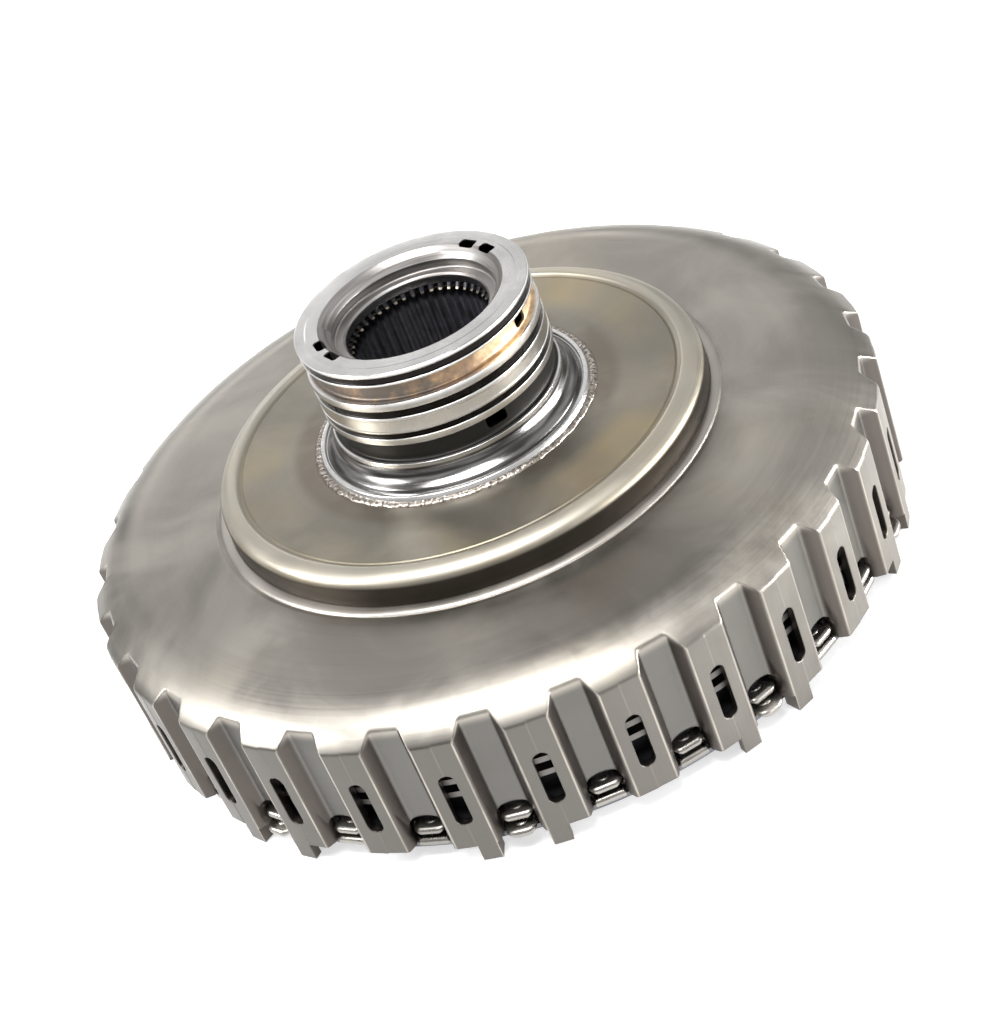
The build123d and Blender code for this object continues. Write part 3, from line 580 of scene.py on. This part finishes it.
def shoulder_section(wall_r, face_z, arc_r, lip, inner_r, collar):
    """Stations from the opening, over the face and shoulder, round the lip and down to the wall's foot."""
    centre_z = face_z - arc_r
    turn = asin((wall_r - lip - SHOULDER_R) / (arc_r - lip))
    lip_z = centre_z + (arc_r - lip) * cos(turn)
    stations = []
    for step in range(7):
        along = pi / 2 * step / 6
        stations.append((inner_r + (STEP_R - inner_r) * sin(along), face_z + collar * cos(along)))
    stations += [(STEP_R + 0.5, face_z), (82.0, face_z), (91.0, face_z)]
    for step in range(13):
        along = turn * step / 12
        stations.append((SHOULDER_R + arc_r * sin(along), centre_z + arc_r * cos(along)))
    for step in range(1, 8):
        along = turn + (pi / 2 - turn) * step / 7
        stations.append((wall_r - lip + lip * sin(along), lip_z + lip * cos(along)))
    stations += [(wall_r, lip_z * (1 - part)) for part in (0.25, 0.5, 0.75, 1.0)]
    return stations


def drum_shell():
    """The folded wall and face as one closed sheet, before its openings are cut."""
    outer = round_corners(*wall_corners(LAND_R, LAND_HALF, FLOOR_R, FLOOR_HALF, 1.1, 1.2, LAND_STEP), 5)
    inner = round_corners(*wall_corners(LAND_R - SHEET, 2.12, FLOOR_R - SHEET, 2.8, 0.4, 3.2, 0.0), 5)
    vertices = []
    for outside, inside in zip(outer, inner):
        out_angle = atan2(outside.y, outside.x) * 180 / pi
        in_angle = atan2(inside.y, inside.x) * 180 / pi
        over = shoulder_section(outside.length, FACE_Z, SHOULDER_ARC, LIP, FLANGE_R, 1.0)
        under = shoulder_section(inside.length, FACE_Z - SHEET, SHOULDER_ARC - SHEET, 0.6, FLANGE_R, 0.0)
        vertices += [polar(radius, out_angle, z) for radius, z in over]
        vertices += [polar(radius, in_angle, z) for radius, z in reversed(under)]
    rows = len(outer)
    return make_object("drum_shell", vertices, grid_faces(rows, len(vertices) // rows), DRUM)


def tab_edges():
    for index in range(LANDS):
        side = (0, 1, -1)[index % 3]
        if side:
            yield sorted(PITCH * index + side * turn for turn in (TAB_FROM, TAB_TO))


def sector_prism(inner_r, outer_r, from_angle, to_angle, low, high):
    steps = max(2, int((to_angle - from_angle) / 2))
    angles = [from_angle + (to_angle - from_angle) * step / steps for step in range(steps + 1)]
    outline = [polar(inner_r, angle)[:2] for angle in angles]
    outline += [polar(outer_r, angle)[:2] for angle in reversed(angles)]
    return prism(outline, low, high)


drum = drum_shell()
edges = list(tab_edges())
gaps = [(edges[index][1], edges[(index + 1) % len(edges)][0]) for index in range(len(edges))]
cut(drum, [sector_prism(105, 125, a, b + (360 if b < a else 0), -3, LAND_BOTTOM) for a, b in gaps])
arch = [(-ARCH_HALF, -2), (ARCH_HALF, -2)]
for step in range(13):
    across = ARCH_HALF * cos(pi * step / 12)
    arch.append((across, ARCH_SPRING + (ARCH_TOP - ARCH_SPRING) * sin(pi * step / 12)))
cut(drum, [wall_prism(arch, PITCH * (index + 0.5), 105, 125) for index in range(LANDS)])
window = []
for end, middle_z in ((0, WINDOW_TOP - WINDOW_W / 2), (1, WINDOW_LOW + WINDOW_W / 2)):
    for step in range(13):
        angle = pi * (step / 12 + end)
        window.append((WINDOW_W / 2 * cos(angle), middle_z + WINDOW_W / 2 * sin(angle)))
cut(drum, [wall_prism(window, PITCH * index, 108, 125) for index in range(LANDS)])
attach(drum, "housing")
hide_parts("outer_drum")


# ================================================================ raised flange
CREST_WIDE, CREST_DEEP = 5.3, 3.6
crest_arc = []
for step in range(13):
    along = pi / 2 * step / 12
    crest_arc.append((FLANGE_R - CREST_WIDE * (1 - cos(along)), FLANGE_Z - CREST_DEEP * (1 - sin(along))))
flange = lathe("flange_pressing", [
    (FLANGE_R, FACE_Z - SHEET), *crest_arc, (FLANGE_R - 5.9, FLANGE_Z - 0.12),
    (FLANGE_R - 6.4, FLANGE_Z - 0.5), (FLANGE_R - 7.2, FLANGE_Z - 0.95), (FLANGE_R - 7.8, DISC_Z),
    (FLANGE_R - 16.6, DISC_Z - 0.15), (HUB_BASE_R, DISC_Z), (HUB_BASE_R, DISC_Z - SHEET),
    (FLANGE_R - SHEET, DISC_Z - SHEET), (FLANGE_R - SHEET, FACE_Z - SHEET),
], [0.3, *[0.01] * 13, 0.3, 0.3, 0.5, 0.4, 9, 0.2, 0.2, 2.4, 0.3], MATERIALS["flange_steel"], 360, 8)
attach(flange, "housing")
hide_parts("hub_flange")


# ================================================================ oil-feed hub
SLOT_PAIRS, SLOT_SPREAD, SLOT_R = (44.0, -150.0), 8.2, 27.7
SPLINE_TIP_R, SPLINE_ROOT_R, SPLINE_TEETH = 19.8, 21.3, 46
SPLINE_LOW = 64.0

# radius, height and rounding of each corner, from the mouth outward, down and back up the bore
hub_section = [(27.0, HUB_TOP, 0.25), (30.6, HUB_TOP, 0.1)]
hub_section += [(30.9, HUB_TOP - 0.12, 0.1), (JOURNAL_R, HUB_TOP - 0.12, 0.35)]


def groove(low, top, floor_r, flank=0.0, floor_round=0.25):
    """Corners of one groove in the journal, from its upper edge to its lower."""
    return [
        (JOURNAL_R, top, 0.18), (floor_r, top - flank, floor_round),
        (floor_r, low + flank, floor_round), (JOURNAL_R, low, 0.18),
    ]


hub_section += groove(*RING_GROOVES[0], RING_FLOOR_R) + groove(88.0, 93.8, 31.8, 0.5, 0.9)
hub_section += groove(*RING_GROOVES[1], RING_FLOOR_R)
hub_section += [(JOURNAL_R, 82.2, 0.1), (33.9, 82.0, 0.1), (33.9, 78.9, 0.1), (JOURNAL_R, 78.7, 0.1)]
hub_section += groove(*RING_GROOVES[2], RING_FLOOR_R) + groove(67.5, 74.2, 32.3, 0.4, 0.8)
hub_section += [
    (JOURNAL_R, 65.4, 1.0), (35.1, 62.9, 4.0), (37.4, 61.3, 1.5), (37.9, 60.4, 0.2), (38.5, 60.4, 0.2),
    (38.8, 61.2, 0.3), (40.0, 61.1, 0.5), (HUB_BASE_R, DISC_Z + 0.6, 0.2),
    (HUB_BASE_R, DISC_Z - SHEET, 0.2), (36.0, DISC_Z - SHEET, 0.2), (36.0, 17.5, 0.4), (24.5, 17.5, 0.4),
    (24.5, 34.0, 0.3), (22.5, 34.0, 0.3), (22.5, SPLINE_TOP + 0.1, 0.1), (20.9, SPLINE_TOP + 0.1, 0.1),
    (20.9, 91.7, 0.2), (21.5, 92.3, 0.2), (24.0, 92.3, 0.5), (24.0, 95.0, 0.5), (25.2, 96.6, 1.5),
]
hub = lathe("hub_body", [point[:2] for point in hub_section], [point[2] for point in hub_section],
            MATERIALS["ground_steel"], 360, 5, 40)


def rounded_rectangle(width, height, corner):
    points = [(x * width / 2, y * height / 2) for x, y in ((-1, -1), (1, -1), (1, 1), (-1, 1))]
    return [tuple(point) for point in round_corners(points, [corner] * 4, 3)]


def end_slot(angle):
    turn = Matrix.Rotation(radians(angle), 2)
    outline = [tuple(turn @ Vector((SLOT_R + x, y))) for x, y in rounded_rectangle(3.0, 5.4, 0.8)]
    return prism(outline, HUB_TOP - 3.4, HUB_TOP + 2)


ports = []
for angle, port_z, width, height in ((-24, 90.6, 5.6, 3.6), (-60, 71.4, 6.4, 3.4)):
    outline = [(across, port_z + up) for across, up in rounded_rectangle(width, height, 0.8)]
    ports.append(wall_prism(outline, angle, 27.5, 36))
cut(hub, [end_slot(middle + side * SLOT_SPREAD) for middle in SLOT_PAIRS for side in (-1, 1)] + ports)
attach(hub, "housing")
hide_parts("feed_hub")

# the internal spline: a toothed sleeve inside the hub's bore, its teeth chamfered at the top
space, land = 360 / SPLINE_TEETH * 0.2, 360 / SPLINE_TEETH * 0.16
teeth = []
for index in range(SPLINE_TEETH):
    root = 360 / SPLINE_TEETH * index
    tip = root + 180 / SPLINE_TEETH
    teeth += [(SPLINE_ROOT_R, root - space), (SPLINE_ROOT_R, root + space)]
    teeth += [(SPLINE_TIP_R, tip - land), (SPLINE_TIP_R, tip + land)]
toothed = round_corners([polar(*corner)[:2] for corner in teeth], [0.18] * len(teeth), 2)
vertices = []
for point in toothed:
    radius = point.length
    unit = point / radius
    chamfer = SPLINE_ROOT_R - radius
    for r, z in (
        (22.5, SPLINE_LOW), (radius, SPLINE_LOW), (radius, SPLINE_TOP - 0.3 - chamfer * 0.9),
        (radius + chamfer * 0.75, SPLINE_TOP - 0.2), (radius + chamfer * 0.85, SPLINE_TOP),
        (22.5, SPLINE_TOP),
    ):
        vertices.append((*(unit * r), z))
spline = make_object("hub_spline", vertices, grid_faces(len(toothed), 6), spline_material(), 25)
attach(spline, "housing")
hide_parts("feed_hub")


# ================================================================ weld beads
def weld_bead(name, node, radius, base_z, width, height, ripples):
    """A rippled bead: overlapping scales run round the joint."""
    rows, columns, vertices = ripples * 6, 9, []
    for row in range(rows):
        angle = 2 * pi * row / rows
        scale = row % 6 / 5
        swell = 1 + 0.10 * sin(angle * 23 + 1.3) + 0.07 * sin(angle * 41)
        lift = height * swell * (0.72 + 0.28 * scale)
        reach = width * (0.94 + 0.06 * sin(angle * 37))
        for column in range(columns):
            across = column / (columns - 1)
            r = radius + reach * across
            z = base_z + lift * sin(pi * (0.12 + 0.88 * across)) ** 0.7
            z += 0.25 * height if column == 0 else 0
            vertices.append((r * cos(angle), r * sin(angle), z))
        vertices.append(((radius + reach) * cos(angle), (radius + reach) * sin(angle), base_z - 0.15))
        vertices.append((radius * cos(angle), radius * sin(angle), base_z - 0.15))
    bead = make_object(name, vertices, grid_faces(rows, columns + 2), MATERIALS["weld_steel"], 60)
    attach(bead, "housing")
    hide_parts(node)


weld_bead("hub_bead", "hub_weld", HUB_BASE_R, DISC_Z, 2.0, 0.75, 120)
weld_bead("flange_bead", "flange_weld", FLANGE_R, FACE_Z + 0.5, 0.8, 0.45, 260)


# ================================================================ lobed plates in the arches
BASE_R, LOBE_HALF, TOOTH_HALF = 110.6, 4.4, 3.9
BUTTON_R, BUTTON_H = 2.1, 0.55


def add_button(vertices, faces, centre):
    """A shallow pressed dome on a lobe, with a closed underside."""
    sides, rings, start = 20, 5, len(vertices)
    x, y, z = centre
    for ring in range(rings):
        slope = pi / 2 * ring / rings
        for side in range(sides):
            turn = 2 * pi * side / sides
            radius = BUTTON_R * cos(slope)
            rise = (BUTTON_H + 0.1) * sin(slope) - 0.1
            vertices.append((x + radius * cos(turn), y + radius * sin(turn), z + rise))
    vertices.append((x, y, z + BUTTON_H))
    for ring in range(rings - 1):
        for side in range(sides):
            after = (side + 1) % sides
            low, high = start + ring * sides, start + (ring + 1) * sides
            faces.append((low + side, low + after, high + after, high + side))
    last = start + (rings - 1) * sides
    faces += [(last + side, last + (side + 1) % sides, start + rings * sides) for side in range(sides)]
    faces.append(tuple(start + side for side in reversed(range(sides))))


def lobe_bulge(point, lobes):
    """Share of the plate's thickness here: a round lobe is full in the middle and thin at its sides."""
    turn = atan2(point.y, point.x) * 180 / pi / PITCH % LANDS
    index = int(turn)
    if lobes[index % len(lobes)][1] < LOBE_HALF / 2:
        return 1.0
    across = point.length * sin(radians((turn - index - 0.5) * PITCH)) / LOBE_HALF
    thin = 1 - 0.3 - 0.7 * sqrt(max(0.0, 1 - across * across))
    return 1 - thin * min(1.0, max(0.0, point.length - BASE_R - 0.5))


def face_rings(inner_r, low, top):
    """Rings of the plate's faces, from its upper rim over the bore to its lower rim."""
    rings = [(BASE_R - 2.2, top), (inner_r, top), (inner_r, low)]
    if inner_r < 50:
        rings += [(55.0, low), (56.5, low + 0.1), (58.0, low + 0.7), (59.5, low + 0.8)]
        rings += [(92.5, low + 0.8), (94.0, low + 0.7), (95.5, low + 0.1), (97.0, low)]
    return rings + [(BASE_R - 2.2, low)]


def lobed_plate(name, node, tooth_r, lobes, inner_r):
    """A plate with full round edges: a tooth in each land pocket and a lobe in each arch."""
    low, top = low_z(node), top_z(node)
    corners, radii = [], []
    for index in range(LANDS):
        lobe_r, rounding = lobes[index % len(lobes)]
        for angle, reach, half, corner in (
            (PITCH * index, tooth_r, TOOTH_HALF, 0.8),
            (PITCH * (index + 0.5), lobe_r, LOBE_HALF, rounding),
        ):
            turn = Matrix.Rotation(radians(angle), 2)
            for point, radius in (
                ((BASE_R, -half), 0.9), ((reach, -half), corner),
                ((reach, half), corner), ((BASE_R, half), 0.9),
            ):
                corners.append(tuple(turn @ Vector(point)))
                radii.append(radius)
    outline = round_corners(corners, radii, 6)
    count = len(outline)
    edge_r = (top - low) / 2 - 0.05
    vertices = []
    for index, point in enumerate(outline):
        way = (outline[(index + 1) % count] - outline[index - 1]).normalized()
        inward = Vector((-way.y, way.x))
        bulge = lobe_bulge(point, lobes)
        for step in range(9):
            turn = pi * step / 8
            place = point + inward * edge_r * (1 - sin(turn))
            vertices.append((place.x, place.y, top - (top - low) / 2 * (1 + cos(turn)) * bulge))
        for radius, z in face_rings(inner_r, low, top):
            place = point.normalized() * radius
            vertices.append((place.x, place.y, z))
    faces = grid_faces(count, len(vertices) // count)
    for index in range(LANDS):
        lobe_r, rounding = lobes[index % len(lobes)]
        if rounding > LOBE_HALF / 2:
            add_button(vertices, faces, polar(lobe_r - LOBE_HALF, PITCH * (index + 0.5), top))
    plate = make_object(name, vertices, faces, LOBE_STEEL, 40)
    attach(plate, "housing")
    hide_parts(node)


LOBE_STEEL = plain_metal("lobe_steel", (0.40, 0.38, 0.35), 0.30, 120.0, 0.02, contrast=0.7)
ARCH_LOBE_R = 115.1
lobed_plate("end_ring_plate", "k1_end_ring", 116.2, [(ARCH_LOBE_R, LOBE_HALF - 0.1)], 99.0)
lobed_plate("drive_plate_disc", "drive_plate", ARCH_LOBE_R,
            [(ARCH_LOBE_R, 0.6), (117.4, LOBE_HALF - 0.1), (ARCH_LOBE_R, 0.6)], 32.0)


# ================================================================ return springs
def return_spring(name, node):
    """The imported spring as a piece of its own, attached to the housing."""
    spring = bpy.data.objects.new(name, nodes[node].data.copy())
    bpy.context.scene.collection.objects.link(spring)
    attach(spring, "housing")
    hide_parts(node)
    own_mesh(spring)


return_spring("k1_diaphragm_spring", "k1_return_spring")
return_spring("k2_coil_springs", "k2_return_springs")


# ================================================================ stage, light and camera
def area_light(name, direction, distance, size, power, colour=(1, 1, 1)):
    light = bpy.data.lights.new(name, "AREA")
    light.shape = "RECTANGLE"
    light.size, light.size_y = size
    light.energy = power
    light.color = colour
    lamp = bpy.data.objects.new(name, light)
    bpy.context.scene.collection.objects.link(lamp)
    target = Vector((0, 0, 45 * MM))
    lamp.location = target + Vector(direction).normalized() * distance
    lamp.rotation_euler = (target - lamp.location).to_track_quat("-Z", "Y").to_euler()


floor_mesh = bpy.data.meshes.new("floor")
reach = 40.0
floor_corners = [(x * reach, y * reach, 0) for x, y in ((-1, -1), (1, -1), (1, 1), (-1, 1))]
floor_mesh.from_pydata(floor_corners, [], [(0, 1, 2, 3)])
floor = bpy.data.objects.new("floor", floor_mesh)
floor.location.z = -0.0005
bpy.context.scene.collection.objects.link(floor)
floor_nodes = Nodes("floor_paint")
speckle = floor_nodes.noise(3.0, 2.0)
floor_mesh.materials.append(floor_nodes.finish(
    floor_nodes.mix(speckle, (0.58, 0.58, 0.58), (0.62, 0.62, 0.62)), 0.9, metallic=0.0))
# the sweep is lit from below as well, which keeps the shadow faint
floor_nodes.shader.inputs["Emission Color"].default_value = (1.0, 1.0, 1.0, 1.0)
floor_nodes.shader.inputs["Emission Strength"].default_value = 0.55

# a soft sky, brightest above the horizon and dimmer overhead
world = bpy.data.worlds.new("studio")
bpy.context.scene.world = world
world.use_nodes = True
sky_tree = world.node_tree
sky_place = sky_tree.nodes.new("ShaderNodeTexCoord")
sky_split = sky_tree.nodes.new("ShaderNodeSeparateXYZ")
sky_ramp = sky_tree.nodes.new("ShaderNodeValToRGB")
sky_tree.links.new(sky_place.outputs["Generated"], sky_split.inputs[0])
sky_tree.links.new(sky_split.outputs["Z"], sky_ramp.inputs["Fac"])
sky_tree.links.new(sky_ramp.outputs["Color"], sky_tree.nodes["Background"].inputs["Color"])
SKY = ((0.0, 0.30), (0.22, 0.34), (0.42, 0.80), (0.70, 0.86), (0.88, 0.55), (1.0, 0.50))
stops = sky_ramp.color_ramp.elements
while len(stops) < len(SKY):
    stops.new(0.5)
for stop, (height, grey) in zip(stops, SKY):
    stop.position = height
    stop.color = (grey, grey, grey, 1.0)
sky_tree.nodes["Background"].inputs["Strength"].default_value = 1.0
bpy.context.scene.view_settings.view_transform = "Standard"

FOCAL = 74.0                   # mm on a 36 mm long side
TILT, ROLL, TURN = -54.8, 22.4, 12.4
AIM = (-0.0285, 0.066, -5.217)  # object's centre in camera space, in drum radii
AIM_Z = 0.266
camera_data = bpy.data.cameras.new("camera")
camera_data.sensor_width = 36
camera_data.lens = FOCAL
camera = bpy.data.objects.new("camera", camera_data)
bpy.context.scene.collection.objects.link(camera)
bpy.context.scene.camera = camera
to_camera = (Matrix.Rotation(radians(ROLL), 3, "Z") @ Matrix.Rotation(radians(TILT), 3, "X")
             @ Matrix.Rotation(radians(-TURN), 3, "Z"))
to_world = to_camera.transposed()
eye = Vector((0, 0, AIM_Z)) - to_world @ Vector(AIM)
camera.matrix_world = Matrix.Translation(eye * LAND_R * MM) @ to_world.to_4x4()

area_light("key", (-0.14, -0.42, 1.5), 1.5, (1.0, 0.40), 24)
area_light("left", (-1.0, -0.2, 0.7), 1.4, (0.5, 0.5), 14)
area_light("back", (-0.3, 1.0, 0.30), 1.5, (1.0, 0.2), 2)
area_light("right", (1.0, -0.05, 0.10), 1.1, (0.9, 0.25), 26)
